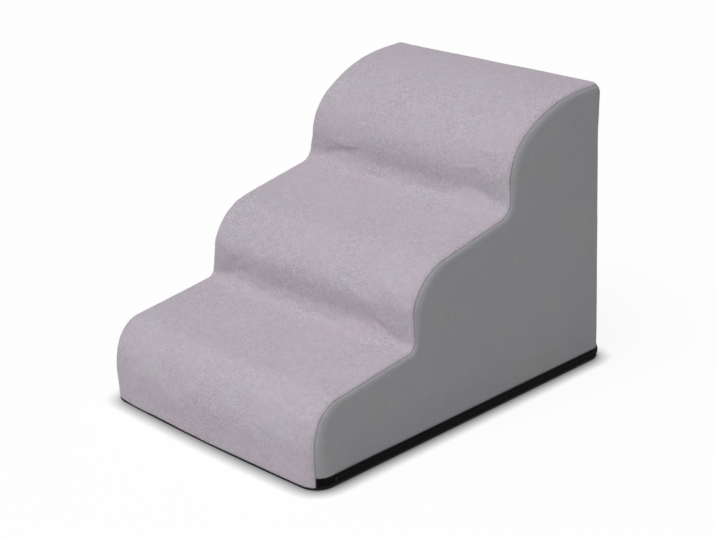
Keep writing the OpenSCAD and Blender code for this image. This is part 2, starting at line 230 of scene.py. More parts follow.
def filled(line, step=CLOTH_STEP):
    """The same line with more stations wherever two stand further apart than step."""
    result = [line[0]]
    for a, b in zip(line, line[1:]):
        n = max(1, math.ceil(math.hypot(b[0] - a[0], b[1] - a[1]) / step))
        result += [tuple(p + (q - p) * i / n for p, q in zip(a, b)) for i in range(1, n + 1)]
    return result


def steps_outline(foot, radii):
    """From the foot over the steps to the top back seam, with hollows of these radii."""
    line = [(FRONT_Y, foot, -1, 0, FOOT_R), (FRONT_Y, ZIP_TOP, -1, 0, FOOT_R)]
    line += nose(0) + hollow(0, radii) + nose(1) + hollow(1, radii) + nose(2)
    return line + top_back(math.pi / 2 + SLOPE[2], SEAM_TURN + SEAM_GAP / 2 / TOP_BACK_R)


def steps_line(foot):
    """From the foot of the first riser over the steps to the seam on the top back edge. Each station
    also holds its place and normal on the softer line half way between the sides."""
    pairs = zip(steps_outline(foot, HOLLOW_R), steps_outline(foot, SPAN_R))
    return filled([firm + soft[:4] for firm, soft in pairs])


def back_line(foot):
    """From the seam on the top back edge down the back to its foot."""
    turn = SEAM_GAP / 2 / TOP_BACK_R
    arc = top_back(SEAM_TURN - turn, 0)
    z = arc[-1][1]
    line = arc + [
        (BACK_Y, z - SHOULDER_H, 1, 0, SHOULDER_R),
        (BACK_Y, ZIP_TOP, 1, 0, FOOT_R),
        (BACK_Y, foot, 1, 0, FOOT_R),
    ]
    return filled([station + station[:4] for station in line])


def whole_line(foot):
    """From the foot of the first riser over the steps and down the back."""
    return steps_line(foot) + back_line(foot)[1:]


def fine_start(line):
    """The line with fine stations close to its start."""
    a, rest = line[0], line[1:]
    while math.hypot(rest[0][0] - a[0], rest[0][1] - a[1]) < HEM_LINES[-1] * HEM_ROOM:
        rest = rest[1:]
    b = rest[0]
    reach = math.hypot(b[0] - a[0], b[1] - a[1])
    fine = [tuple(p + (q - p) * d / reach for p, q in zip(a, b)) for d in HEM_LINES]
    return [a] + fine + rest


def with_hem(line, at_end):
    """The line with fine stations close to its sewn ends, so that the cloth can turn in there."""
    result = fine_start(list(line))
    return fine_start(result[::-1])[::-1] if at_end else result


def half_at(z):
    """Half of the cover's width at height z, where the sides lean inwards from their hem up."""
    return BODY_HALF - max(0, z - HEM_Z) * math.tan(SIDE_LEAN)


def skin_point(station, side, turn, share, depth):
    """A point of the cover, that deep below its face. Between the roundings turn is None and share is
    the place across, from 1 at the right to -1 at the left."""
    y, z, ny, nz, edge = station[:5]
    if turn is None:
        soft = eased((1 - abs(share)) * (BODY_HALF - edge) / SPAN_IN)
        y, z, ny, nz = (p + (q - p) * soft for p, q in zip((y, z, ny, nz), station[5:]))
        out = FRONT_CROWN * (1 - share * share) * max(0, -ny) - depth
        z += nz * out
        return Vector((share * (half_at(z) - edge), y + ny * out, z))
    inwards = depth + (edge - depth) * (1 - math.sin(turn))
    z -= nz * inwards
    x = side * (half_at(z) - depth - (edge - depth) * (1 - math.cos(turn)))
    return Vector((x, y - ny * inwards, z))


# How the cloth lies
def unevenness(p, size, seed):
    """Smooth chance between 0 and 1, with waves of about that size. The seed moves the pattern."""
    return 0.5 + 0.5 * noise.noise(p / size + Vector((seed, seed * 1.7, seed * 0.3)))


def waves(p, table, seed=0):
    """How high the cloth stands off in waves, which the table gives as height, length and seed."""
    return sum(height * unevenness(p, size, seed + own) for height, size, own in table)


def calm(seam, end=math.inf):
    """0 at a seam, and 1 where the cloth is free to lie in waves."""
    return min(1, seam / CALM_SEAM) * min(1, end / CALM_END)


def turned_in(distance, width, depth):
    """How deep the cloth turns into a seam at that distance from it."""
    return depth * max(0, 1 - distance / width) ** 2


def gathers(p, distance, seed):
    """Height of the small gathers that the sewing thread pulls into the cloth beside a seam."""
    near = math.exp(-((distance - GATHER_AT) / GATHER_REACH) ** 2)
    ripple = unevenness(p, GATHER_SIZE, seed) * unevenness(p, GATHER_GROUP, seed + 7)
    return GATHER_H * near * ripple * min(1, distance / GATHER_START)


def open_front(x):
    """1 along the foot of the first riser, and 0 at its side seams."""
    return limited((CORNER_X + HANG_PAST_CORNER - abs(x)) / HANG_FADE)


def hang(x):
    """How far the seam between plush and base hangs down at the foot of the first riser: unevenly."""
    # twice as steep as the plain chance, so that some places hang least and others most
    wave = limited(2 * unevenness(Vector((x, 0, 0)), HANG_SIZE, HANG_SEED) - 0.5)
    return open_front(x) * (HANG_LEAST + HANG_MORE * wave)


# Making a piece
def chain(verts, closed):
    """Each vertex with the next one."""
    return list(zip(verts, verts[1:])) + ([(verts[-1], verts[0])] if closed else [])


def grid(rows, closed=False):
    """A sheet through rows of points: the first row is a chain of edges, each next one is extruded.
    Gives the mesh and its vertices row by row."""
    bm = bmesh.new()
    bm.loops.layers.uv.new("cloth")
    lines = [[bm.verts.new(p) for p in rows[0]]]
    edges = [bm.edges.new(pair) for pair in chain(lines[0], closed)]
    for points in rows[1:]:
        made = bmesh.ops.extrude_edge_only(bm, edges=edges)["geom"]
        # a new vertex still lies on the one that it came from
        by_place = {tuple(g.co): g for g in made if isinstance(g, bmesh.types.BMVert)}
        lines.append([by_place[tuple(v.co)] for v in lines[-1]])
        edges = [bm.edges.get(pair) for pair in chain(lines[-1], closed)]
        for vert, point in zip(lines[-1], points):
            vert.co = point
    return bm, lines


def cut_across(bm, axis, place, faces=None, snap=0):
    """Cuts the mesh, or only these faces of it, square to an axis at place. Gives the faces after the cut."""
    normal = Vector((0, 0, 0))
    normal[axis] = 1
    faces = faces or bm.faces[:]
    geom = faces + list({e for f in faces for e in f.edges}) + list({v for f in faces for v in f.verts})
    cut = bmesh.ops.bisect_plane(bm, geom=geom, dist=snap, plane_co=normal * place, plane_no=normal)
    return [g for g in cut["geom"] if isinstance(g, bmesh.types.BMFace)]


def outwards(bm, centre):
    """Turns all faces of an open sheet to the side away from centre."""
    bmesh.ops.recalc_face_normals(bm, faces=bm.faces)
    facing = sum(f.calc_area() * f.normal.dot(f.calc_center_median() - centre) for f in bm.faces)
    if facing < 0:
        bmesh.ops.reverse_faces(bm, faces=bm.faces)


def piece(name, bm, material):
    """Makes the mesh a smooth piece that rides on the stairs."""
    mesh = bpy.data.meshes.new(name)
    bm.to_mesh(mesh)
    bm.free()
    for polygon in mesh.polygons:
        polygon.use_smooth = True
    made = bpy.data.objects.new(name, mesh)
    bpy.context.scene.collection.objects.link(made)
    mesh.materials.append(material)
    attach(made, "stairs")
    return made


def thicken(made, thickness):
    """Gives a sheet its thickness, inwards from its face."""
    solid = made.modifiers.new("thickness", "SOLIDIFY")
    solid.thickness = thickness
    solid.offset = -1
    solid.use_even_offset = True
    return made


# Settling the covers

# A seam's hold starts at this much, of which no more than 1 counts, and falls by 1 over this distance
SEAM_HOLD = 1.3
SEAM_REACH = 22 * MM
# Frames of the simulation, and the share by which the cloth is cut too large
CLOTH_FRAMES = 16
CUT_LARGER = 0.006
# The most that a point may move along the plain face, below it, and out of it on a strip or on a side
MOST_ASIDE = 1 * MM
MOST_BELOW = 0.1 * MM
STRIP_MOST = 2.2 * MM
SIDE_MOST = 1.5 * MM


def sewn_down(mesh):
    """How firmly each vertex of a cover is held by the nearest seam, from 1 at the seam to 0."""
    bm = bmesh.new()
    bm.from_mesh(mesh)
    seam = [v.co.copy() for v in bm.verts if v.is_boundary]
    bm.free()
    tree = kdtree.KDTree(len(seam))
    for i, place in enumerate(seam):
        tree.insert(place, i)
    tree.balance()
    return [limited(SEAM_HOLD - tree.find(v.co)[2] / SEAM_REACH) for v in mesh.vertices]


def settle(made, most):
    """Lets a cover settle by cloth simulation: its seams hold it, it is cut a little too large, and the
    foam presses it outwards. No vertex ends up further out than most."""
    mesh = made.data
    start = [v.co.copy() for v in mesh.vertices]
    normals = [v.normal.copy() for v in mesh.vertices]
    group = made.vertex_groups.new(name="sewn")
    for i, weight in enumerate(sewn_down(mesh)):
        group.add([i], weight, "REPLACE")
    cloth = made.modifiers.new("cloth", "CLOTH")
    fabric = cloth.settings
    fabric.quality = 4
    fabric.mass = 0.05
    fabric.tension_stiffness = 12
    fabric.compression_stiffness = 6
    fabric.shear_stiffness = 6
    fabric.bending_stiffness = 0.3
    fabric.shrink_min = -CUT_LARGER
    fabric.use_pressure = True
    fabric.uniform_pressure_force = 0.6
    fabric.vertex_group_mass = "sewn"
    fabric.effector_weights.gravity = 0
    cloth.point_cache.frame_end = CLOTH_FRAMES
    scene = bpy.context.scene
    for frame_number in range(1, CLOTH_FRAMES + 1):
        scene.frame_set(frame_number)
    settled = made.evaluated_get(bpy.context.evaluated_depsgraph_get()).data
    moves = [new.co - old for new, old in zip(settled.vertices, start)]
    for vert, old, normal, move in zip(mesh.vertices, start, normals, moves):
        out = move.dot(normal)
        aside = move - normal * out
        aside *= min(1, MOST_ASIDE / max(aside.length, TINY))
        vert.co = old + aside + normal * max(-MOST_BELOW, most * math.tanh(out / most))
    made.modifiers.remove(cloth)
    made.vertex_groups.remove(group)
    scene.frame_set(1)


# Materials

# Numbers of a Mix node's inputs when it mixes colours
SHARE, FIRST, SECOND = 0, 6, 7
# A Wave texture repeats every millimetre at this scale
WAVE_PER_MM = 0.314 / MM


def linear(hex_colour):
    """A colour written in sRGB hex, as the linear values that a shader wants."""
    values = [int(hex_colour[i:i + 2], 16) / 255 for i in (1, 3, 5)]
    return tuple(v / 12.92 if v <= 0.04045 else ((v + 0.055) / 1.055) ** 2.4 for v in values) + (1,)


def feed(tree, node, inputs):
    """Gives each of these inputs of a node a value, or another node's output. A node that is given
    stands for the first of its outputs that is in use."""
    for name, value in inputs.items():
        if isinstance(value, bpy.types.Node):
            value = next(output for output in value.outputs if output.enabled)
        if isinstance(value, bpy.types.NodeSocket):
            tree.links.new(value, node.inputs[name])
        else:
            node.inputs[name].default_value = value


def add(tree, kind, inputs=None, **settings):
    """Adds a shader node of this kind with its settings, and feeds its inputs."""
    node = tree.nodes.new("ShaderNode" + kind)
    for name, value in settings.items():
        setattr(node, name, value)
    feed(tree, node, inputs or {})
    return node


def new_material(name):
    """A new material, its nodes and its shader."""
    material = bpy.data.materials.new(name)
    material.use_nodes = True
    tree = material.node_tree
    return material, tree, tree.nodes["Principled BSDF"]


def short_pile_plush():
    """Short-pile polyester plush, knitted and sheared. The nap lies in patches, so it is mottled in
    paler and pinker areas, and each tuft catches the light at its tip: dull, with a soft sheen."""
    material, tree, shader = new_material("short_pile_polyester_plush")
    place = add(tree, "TexCoord").outputs["Object"]
    # patches of nap that lies another way, about 40 mm wide
    patches = add(tree, "TexNoise", {
        "Vector": place, "Scale": 1 / (40 * MM), "Detail": 3.0, "Roughness": 0.6,
    })
    patch = add(tree, "MapRange", {"Value": patches, "From Min": 0.36, "From Max": 0.64})
    base = add(tree, "Mix", {
        SHARE: patch, FIRST: linear("#baafb9"), SECOND: linear("#b8b2ba"),
    }, data_type="RGBA")
    # bunches of tufts, about 9 mm
    bunches = add(tree, "TexNoise", {
        "Vector": place, "Scale": 1 / (9 * MM), "Detail": 4.0, "Roughness": 0.7,
    })
    bunch = add(tree, "MapRange", {
        "Value": bunches,
        "From Min": 0.3, "From Max": 0.7, "To Min": 0.93, "To Max": 1.05,
    })
    # where the nap stands up, over areas of about 90 mm, the tufts show more
    standing = add(tree, "TexNoise", {"Vector": place, "Scale": 1 / (90 * MM), "Detail": 2.0})
    low = add(tree, "MapRange", {
        "Value": standing,
        "From Min": 0.35, "From Max": 0.65, "To Min": 0.93, "To Max": 0.76,
    })
    high = add(tree, "MapRange", {
        "Value": standing,
        "From Min": 0.35, "From Max": 0.65, "To Min": 1.05, "To Max": 1.17,
    })
    # tufts of the pile, 1 mm, drawn at 2.2 mm so that they show
    tufts = add(tree, "TexNoise", {
        "Vector": place, "Scale": 1 / (2.2 * MM), "Detail": 2.0, "Roughness": 0.7,
    })
    tuft = add(tree, "MapRange", {
        "Value": tufts, "From Min": 0.34, "From Max": 0.66,
        "To Min": low, "To Max": high,
    })
    shade = add(tree, "Math", {0: bunch, 1: tuft}, operation="MULTIPLY")
    colour = add(tree, "VectorMath", {0: base, "Scale": shade}, operation="SCALE")
    nap = add(tree, "Bump", {"Strength": 0.5, "Distance": 0.6 * MM, "Height": tufts})
    relief = add(tree, "Bump", {"Strength": 0.35, "Distance": 1.5 * MM, "Height": bunches, "Normal": nap})
    feed(tree, shader, {
        "Base Color": colour, "Normal": relief,
        "Roughness": 0.95, "Specular IOR Level": 0.2,
        "Sheen Weight": 0.25, "Sheen Roughness": 0.45, "Sheen Tint": linear("#efe4ee"),
    })
    return material


def brushed_tricot():
    """Brushed polyester tricot: a fine warp knit, raised on its face. Smooth and matt from a step
    away, with faint warm and cool clouds where the raised fibres lie differently."""
    material, tree, shader = new_material("brushed_polyester_tricot")
    place = add(tree, "TexCoord").outputs["Object"]
    # clouds in the raised face, about 70 mm wide
    clouds = add(tree, "TexNoise", {
        "Vector": place, "Scale": 1 / (70 * MM), "Detail": 3.0, "Roughness": 0.55,
    })
    cloud = add(tree, "MapRange", {"Value": clouds, "From Min": 0.36, "From Max": 0.64})
    base = add(tree, "Mix", {
        SHARE: cloud, FIRST: linear("#9c9a9c"), SECOND: linear("#999a9f"),
    }, data_type="RGBA")
    # loops and ends of fibre, in bunches of 1.6 mm
    fibres = add(tree, "TexNoise", {
        "Vector": place, "Scale": 1 / (1.6 * MM), "Detail": 2.0, "Roughness": 0.6,
    })
    fibre = add(tree, "MapRange", {
        "Value": fibres,
        "From Min": 0.3, "From Max": 0.7, "To Min": 0.9, "To Max": 1.1,
    })
    colour = add(tree, "VectorMath", {0: base, "Scale": fibre}, operation="SCALE")
    # wales and courses of the knit, 0.7 mm apart, drawn 1.4 mm apart so that they show
    wander = {
        "Vector": place, "Scale": WAVE_PER_MM / 1.4,
        "Distortion": 1.5, "Detail": 1.0, "Detail Scale": 40.0,
    }
    wales = add(tree, "TexWave", wander, bands_direction="Y")
    courses = add(tree, "TexWave", wander, bands_direction="Z")
    knit = add(tree, "Math", {0: wales.outputs["Fac"], 1: courses.outputs["Fac"]}, operation="MULTIPLY")
    yarn = add(tree, "Bump", {"Strength": 0.3, "Distance": 0.3 * MM, "Height": knit})
    raised = add(tree, "Bump", {"Strength": 0.3, "Distance": 0.4 * MM, "Height": fibres, "Normal": yarn})
    feed(tree, shader, {
        "Base Color": colour, "Normal": raised,
        "Roughness": 0.9, "Specular IOR Level": 0.25, "Sheen Weight": 0.15, "Sheen Roughness": 0.5,
    })
    return material


def woven_tape():
    """Woven polyester zip tape in black: a fine herringbone of ribs, with a painted sheen on the ribs, which
    are drawn a little lighter.
    """
    material, tree, shader = new_material("woven_polyester_tape")
    place = add(tree, "UVMap", uv_map="cloth")
    parts = add(tree, "SeparateXYZ", {"Vector": place})
    # ribs slant one way for 1.9 mm across the tape and then the other way, 0.5 mm apart, drawn 0.9 mm
    zigzag = add(tree, "Math", {0: parts.outputs["Y"], 1: 1.9 * MM}, operation="PINGPONG")
    slant = add(tree, "Math", {0: parts.outputs["X"], 1: zigzag}, operation="ADD")
    phase = add(tree, "Math", {0: slant, 1: 2 * math.pi / (0.9 * MM)}, operation="MULTIPLY")
    ribs = add(tree, "Math", {0: phase}, operation="SINE")
    # the ribs are drawn lighter than the grooves between them: a painted sheen on the ribs
    rib_sheen = add(tree, "MapRange", {"Value": ribs, "From Min": -1.0, "To Min": 0.2, "To Max": 0.8})
    # fluff that the tape has picked up, in patches of 4 mm
    fluff = add(tree, "TexNoise", {"Vector": place, "Scale": 1 / (4 * MM), "Detail": 3.0})
    # the tape's tone: the painted sheen on the ribs, times the real fluff
    tone = add(tree, "Math", {0: rib_sheen, 1: fluff}, operation="MULTIPLY")
    colour = add(tree, "Mix", {
        SHARE: tone, FIRST: linear("#030303"), SECOND: linear("#101012"),
    }, data_type="RGBA")
    relief = add(tree, "Bump", {"Strength": 0.6, "Distance": 0.2 * MM, "Height": ribs})
    feed(tree, shader, {
        "Base Color": colour, "Normal": relief, "Roughness": 0.8, "Specular IOR Level": 0.08,
    })
    return material


def nylon_monofilament():
    """Black nylon monofilament, drawn through a die: smooth and half glossy, a line of light on each
    turn, duller where dust lies in patches of 12 mm."""
    material, tree, shader = new_material("nylon_monofilament")
    place = add(tree, "TexCoord").outputs["Object"]
    dust = add(tree, "TexNoise", {"Vector": place, "Scale": 1 / (12 * MM), "Detail": 4.0})
    rough = add(tree, "MapRange", {
        "Value": dust,
        "From Min": 0.3, "From Max": 0.7, "To Min": 0.3, "To Max": 0.5,
    })
    colour = add(tree, "Mix", {
        SHARE: dust, FIRST: linear("#050506"), SECOND: linear("#101012"),
    }, data_type="RGBA")
    feed(tree, shader, {"Base Color": colour, "Roughness": rough, "IOR": 1.53, "Specular IOR Level": 0.2})
    return material


def enamelled_zinc():
    """Die-cast zinc with baked black enamel: smooth and glossy, slightly orange-peeled, with the odd
    dull scuff where the slider has been handled."""
    material, tree, shader = new_material("enamelled_die_cast_zinc")
    place = add(tree, "TexCoord").outputs["Object"]
    # scuffs of 3 mm
    scuffs = add(tree, "TexNoise", {
        "Vector": place, "Scale": 1 / (3 * MM), "Detail": 5.0, "Roughness": 0.7,
    })
    rough = add(tree, "MapRange", {
        "Value": scuffs,
        "From Min": 0.45, "From Max": 0.7, "To Min": 0.3, "To Max": 0.55,
    })
    colour = add(tree, "Mix", {
        SHARE: scuffs, FIRST: linear("#08080a"), SECOND: linear("#151518"),
    }, data_type="RGBA")
    # orange peel of 0.9 mm
    peel = add(tree, "TexNoise", {"Vector": place, "Scale": 1 / (0.9 * MM), "Detail": 1.0})
    relief = add(tree, "Bump", {"Strength": 0.25, "Distance": 0.1 * MM, "Height": peel})
    feed(tree, shader, {
        "Base Color": colour, "Roughness": rough,
        "Normal": relief,
        "Specular IOR Level": 0.12, "Coat Weight": 0.04, "Coat Roughness": 0.12,
    })
    return material


def polyurethane_foam():
    """Open-cell polyurethane upholstery foam, cut with a hot wire: cream, dull, full of small cells."""
    material, tree, shader = new_material("polyurethane_foam")
    place = add(tree, "TexCoord").outputs["Object"]
    # yellowing in areas of 80 mm
    yellowing = add(tree, "TexNoise", {"Vector": place, "Scale": 1 / (80 * MM), "Detail": 2.0})
    base = add(tree, "Mix", {
        SHARE: yellowing, FIRST: linear("#ebe5cd"), SECOND: linear("#dfd5b2"),
    }, data_type="RGBA")
    # cells of 0.8 mm, drawn at 1.6 mm so that they show; each is darker towards its middle, a painted shade
    # in its hollow
    cells = add(tree, "TexVoronoi", {"Vector": place, "Scale": 1 / (1.6 * MM)})
    pore_shade = add(tree, "MapRange", {"Value": cells, "From Max": 0.5, "To Min": 0.72, "To Max": 1.0})
    colour = add(tree, "VectorMath", {0: base, "Scale": pore_shade}, operation="SCALE")
    relief = add(tree, "Bump", {"Strength": 0.8, "Distance": 0.6 * MM, "Height": cells})
    feed(tree, shader, {
        "Base Color": colour, "Normal": relief, "Roughness": 1.0, "Specular IOR Level": 0.1,
    })
    return material


def woven_base_cloth():
    """Plain-woven polyester canvas in black, under the stairs: a square weave with a dull thread."""
    material, tree, shader = new_material("plain_woven_polyester_canvas")
    place = add(tree, "TexCoord").outputs["Object"]
    # threads 0.5 mm apart, drawn 1 mm apart so that they show
    threads = {"Vector": place, "Scale": WAVE_PER_MM}
    warp = add(tree, "TexWave", threads, bands_direction="X")
    weft = add(tree, "TexWave", threads, bands_direction="Y")
    weave = add(tree, "Math", {0: warp.outputs["Fac"], 1: weft.outputs["Fac"]}, operation="MULTIPLY")
    colour = add(tree, "Mix", {
        SHARE: weave, FIRST: linear("#0f0f11"), SECOND: linear("#242427"),
    }, data_type="RGBA")
    relief = add(tree, "Bump", {"Strength": 0.6, "Distance": 0.3 * MM, "Height": weave})
    feed(tree, shader, {
        "Base Color": colour, "Normal": relief, "Roughness": 0.85, "Specular IOR Level": 0.25,
    })
    return material


def soft_pvc():
    """Soft PVC, printed hot onto the cloth in drops: black, rubbery, a little shiny on top, and duller
    where the floor has rubbed it, in spots of 2 mm."""
    material, tree, shader = new_material("soft_pvc_drops")
    place = add(tree, "TexCoord").outputs["Object"]
    wear = add(tree, "TexNoise", {"Vector": place, "Scale": 1 / (2 * MM), "Detail": 4.0})
    rough = add(tree, "MapRange", {"Value": wear, "To Min": 0.4, "To Max": 0.65})
    colour = add(tree, "Mix", {
        SHARE: wear, FIRST: linear("#1b1b1d"), SECOND: linear("#2b2b2e"),
    }, data_type="RGBA")
    feed(tree, shader, {"Base Color": colour, "Roughness": rough})
    return material


def sewing_thread():
    """Twisted polyester sewing thread in black, slightly glossy, with a twist of 0.6 mm."""
    material, tree, shader = new_material("polyester_sewing_thread")
    place = add(tree, "TexCoord").outputs["Object"]
    twist = add(tree, "TexNoise", {"Vector": place, "Scale": 1 / (0.6 * MM), "Detail": 2.0})
    colour = add(tree, "Mix", {
        SHARE: twist, FIRST: linear("#1c1c1f"), SECOND: linear("#39393d"),
    }, data_type="RGBA")
    relief = add(tree, "Bump", {"Strength": 0.5, "Distance": 0.1 * MM, "Height": twist})
    feed(tree, shader, {"Base Color": colour, "Normal": relief, "Roughness": 0.55})
    return material


plush = short_pile_plush()
tricot = brushed_tricot()
tape_cloth = woven_tape()
nylon = nylon_monofilament()
zinc = enamelled_zinc()
foam = polyurethane_foam()
canvas = woven_base_cloth()
pvc = soft_pvc()
thread = sewing_thread()


# Cover

# Rows lie close together at a side seam: turn past the seam in degrees. Then come those of the flat part
SEAM_ROWS = [0, 2.5, 5.5, 9.5, 15, 22.5, 30, 37.5]
FLAT_ROWS = 42
# The flat face of a side is cut at this spacing, and a cut this near to a point goes through it
SIDE_CELL = 7 * MM
SIDE_SNAP = 0.2 * MM
# On the flat face of a side, the gathers are as weak as this far from a seam
FAR_FROM_SEAM = 30 * MM


def strip_places():
    """Places across a panel that runs from side seam to side seam: side, turn from the side, share."""
    right = [(1, SEAM_TURN + math.radians(t), None) for t in SEAM_ROWS]
    flat = [(0, None, 1 - 2 * i / FLAT_ROWS) for i in range(FLAT_ROWS + 1)]
    left = [(-1, turn, None) for _, turn, _ in reversed(right)]
    return right + flat + left


def from_seam(station, turn, share):
    """Distance of a place across a strip panel from the nearer side seam."""
    edge = station[4]
    if turn is not None:
        return edge * (turn - SEAM_TURN)
    return edge * (math.pi / 2 - SEAM_TURN) + (1 - abs(share)) * (BODY_HALF - edge)


def along(line):
    """Distance of each station from the line's start."""
    total, result = 0, [0]
    for a, b in zip(line, line[1:]):
        total += math.hypot(b[0] - a[0], b[1] - a[1])
        result.append(total)
    return result


def strip_panel(name, line, lift, material, thickness):
    """A panel from side seam to side seam. lift says how far the cloth stands off its plain face."""
    travel = along(line)
    length = travel[-1]
    rows = []
    for side, turn, share in strip_places():
        points = []
        for station, s in zip(line, travel):
            plain = skin_point(station, side, turn, share, 0)
            seam = from_seam(station, turn, share)
            end = min(s, length - s)
            depth = turned_in(seam, TURN_W, TURN_DEPTH) + turned_in(end, TURN_W, TURN_DEPTH)
            point = skin_point(station, side, turn, share, min(depth, TURN_MOST) - lift(plain, seam, end))
            point.z -= turned_in(point.z - BASE_TOP, HANG_UP, hang(point.x))
            points.append(point)
        rows.append(points)
    bm, _ = grid(rows)
    outwards(bm, INSIDE)
    made = piece(name, bm, material)
    settle(made, STRIP_MOST)
    return thicken(made, thickness), length


def plush_lift(p, seam, end):
    """The plush lies in shallow waves, with small gathers along its seams."""
    sewn = gathers(p, seam, seed=11) + END_GATHERS * gathers(p, end, seed=17)
    return calm(seam, end) * waves(p, PLUSH_WAVES) + sewn


def back_lift(p, seam, end):
    """The back cloth lies in shallower waves, with weaker gathers."""
    return calm(seam, end) * waves(p, BACK_WAVES) + TRICOT_GATHERS * gathers(p, min(seam, end), seed=29)


tread_line = with_hem(steps_line(BASE_TOP), at_end=True)
tread_cover, tread_length = strip_panel("tread_cover", tread_line, plush_lift, plush, PLUSH_T)
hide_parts("tread_panel")

rear_line = with_hem(back_line(HEM_Z), at_end=False)
back_cover, back_length = strip_panel("back_cover", rear_line, back_lift, tricot, FABRIC_T)
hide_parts("back_panel")


def side_lift(p, seam, seed):
    """The side cloth swells a little between its seams and is drawn in above the zip."""
    drawn_in = DRAWN_IN * math.exp(-((p.z - DRAWN_IN_Z) / DRAWN_IN_H) ** 2)
    return calm(seam) * waves(p, SIDE_WAVES, seed) - drawn_in + TRICOT_GATHERS * gathers(p, seam, seed + 5)


def side_cover(name, side, seed):
    """A side panel: the strip on the rounding, and a flat face cut into a fine grid."""
    line = whole_line(HEM_Z)
    rows = []
    for turn in [SEAM_TURN - math.radians(t) for t in SEAM_ROWS] + [0]:
        points = []
        for station in line:
            seam = station[4] * (SEAM_TURN - turn)
            depth = turned_in(seam, SIDE_TURN_W, SIDE_TURN_DEPTH)
            plain = skin_point(station, side, turn, None, 0)
            lift = side_lift(plain, seam, seed) if turn else 0
            points.append(skin_point(station, side, turn, None, depth - lift))
        rows.append(points)
    bm, lines = grid(rows)
    flat = [bm.faces.new(lines[-1])]
    for axis, start, end in ((1, FRONT_Y, BACK_Y), (2, HEM_Z, RISES[2])):
        for i in range(1, int((end - start) / SIDE_CELL)):
            flat = cut_across(bm, axis, start + i * SIDE_CELL, faces=flat, snap=SIDE_SNAP)
    for vert in {v for f in flat for v in f.verts}:
        vert.co.x += side * side_lift(vert.co, FAR_FROM_SEAM, seed)
    bmesh.ops.triangulate(bm, faces=[f for f in bm.faces if len(f.verts) > 4])
    outwards(bm, INSIDE)
    made = piece(name, bm, tricot)
    settle(made, SIDE_MOST)
    return thicken(made, FABRIC_T)


right_cover = side_cover("right_side_cover", 1, seed=41)
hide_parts("right_side_panel")
left_cover = side_cover("left_side_cover", -1, seed=53)
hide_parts("left_side_panel")

# Foam

# At the sides it leaves this room for the turned-in edges of the cover
SEAM_ALLOWANCE = 1.2 * MM
# Degrees from row to row on its roundings, and rows between them
FOAM_TURN = 15
FOAM_ROWS = 10


def foam_block():
    """The foam, closed at both sides by a flat face, just below the cover."""
    # it keeps the firm line all the way across, and every second station is enough
    line = [station[:5] + station[:4] for station in whole_line(BASE_TOP)[::2]]
    top = PLUSH_T + FOAM_GAP
    sides = FABRIC_T + FOAM_GAP + SEAM_ALLOWANCE
    turns = [math.radians(t) for t in range(0, 90, FOAM_TURN)]
    right = [(1, turn, None, sides if turn < SEAM_TURN else top) for turn in turns]
    flat = [(0, None, 1 - 2 * i / FOAM_ROWS, top) for i in range(FOAM_ROWS + 1)]
    left = [(-1, turn, None, depth) for _, turn, _, depth in reversed(right)]
    places = right + flat + left
    rows = [[skin_point(st, side, turn, share, depth) for st in line] for side, turn, share, depth in places]
    bm, _ = grid(rows, closed=True)
    bmesh.ops.holes_fill(bm, edges=[e for e in bm.edges if e.is_boundary], sides=0)
    bmesh.ops.triangulate(bm, faces=[f for f in bm.faces if len(f.verts) > 4])
    bmesh.ops.recalc_face_normals(bm, faces=bm.faces)
    return bm


foam_piece = piece("foam_block", foam_block(), foam)
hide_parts("foam_core")

# Zip

# Past the ends of the chain, the inner edges of its tapes meet: from this far off, over this length
MEET_FROM = 1 * MM
MEET_OVER = 7 * MM
# Tapes: spacing of the columns and places of the rows, width and depth of the rounded-off edge, and the
# gap that keeps two pieces apart where they lie against each other
TAPE_STEP = 3 * MM
TAPE_LINES = [1.6 * MM, 3 * MM, 4.4 * MM]
SELVEDGE = 0.25 * MM
SELVEDGE_IN = 0.15 * MM
CLOSE_GAP = 0.05 * MM
# Stitches: pitch, length, thread, where they bend, how deep they dip, and how far from the tape's edge
STITCH_PITCH = 3.2 * MM
STITCH_L = 2.5 * MM
THREAD_R = 0.2 * MM
STITCH_BEND = 0.8 * MM
STITCH_DIP = 0.25 * MM
STITCH_MARGIN = 1 * MM
# Coils: pitch of the turns, radius of the wire, points on a turn, how far the heads reach over the
# chain's middle, and how much a turn is squared off, where 1 would be a plain round one
COIL_PITCH = 1.4 * MM
WIRE_R = 0.24 * MM
TURN_POINTS = 10
HEAD_OVER = 0.2 * MM
SQUARED = 0.7


def round_corner(centre_x, centre_y, radius, start, end):
    """Points of a rounded corner in plan: x, y and outward normal."""
    return [
        (centre_x + radius * math.cos(a), centre_y + radius * math.sin(a), math.cos(a), math.sin(a))
        for a in spread(start, end, CORNER_FACET)
    ]


def back_corners(radius):
    """Both back corners, from the right one to the left one."""
    plan = round_corner(CORNER_X, BACK_CORNER_Y, radius, 0, math.pi / 2)
    return plan + round_corner(-CORNER_X, BACK_CORNER_Y, radius, math.pi / 2, math.pi)


def foot_plan(out):
    """The foot from the right front seam round the back to the left front seam: x, y and outward normal."""
    radius = FOOT_R + out
    right = round_corner(CORNER_X, FRONT_CORNER_Y, radius, -SEAM_TURN, 0)
    left = round_corner(-CORNER_X, FRONT_CORNER_Y, radius, math.pi, math.pi + SEAM_TURN)
    return right + back_corners(radius) + left


def chain_plan(out, left_end):
    """The foot's plan from the chain's start on the right side to left_end on the left side."""
    radius = FOOT_R + out
    start = (CORNER_X + radius, CHAIN_FRONT_Y, 1, 0)
    return [start] + back_corners(radius) + [(-CORNER_X - radius, left_end, -1, 0)]


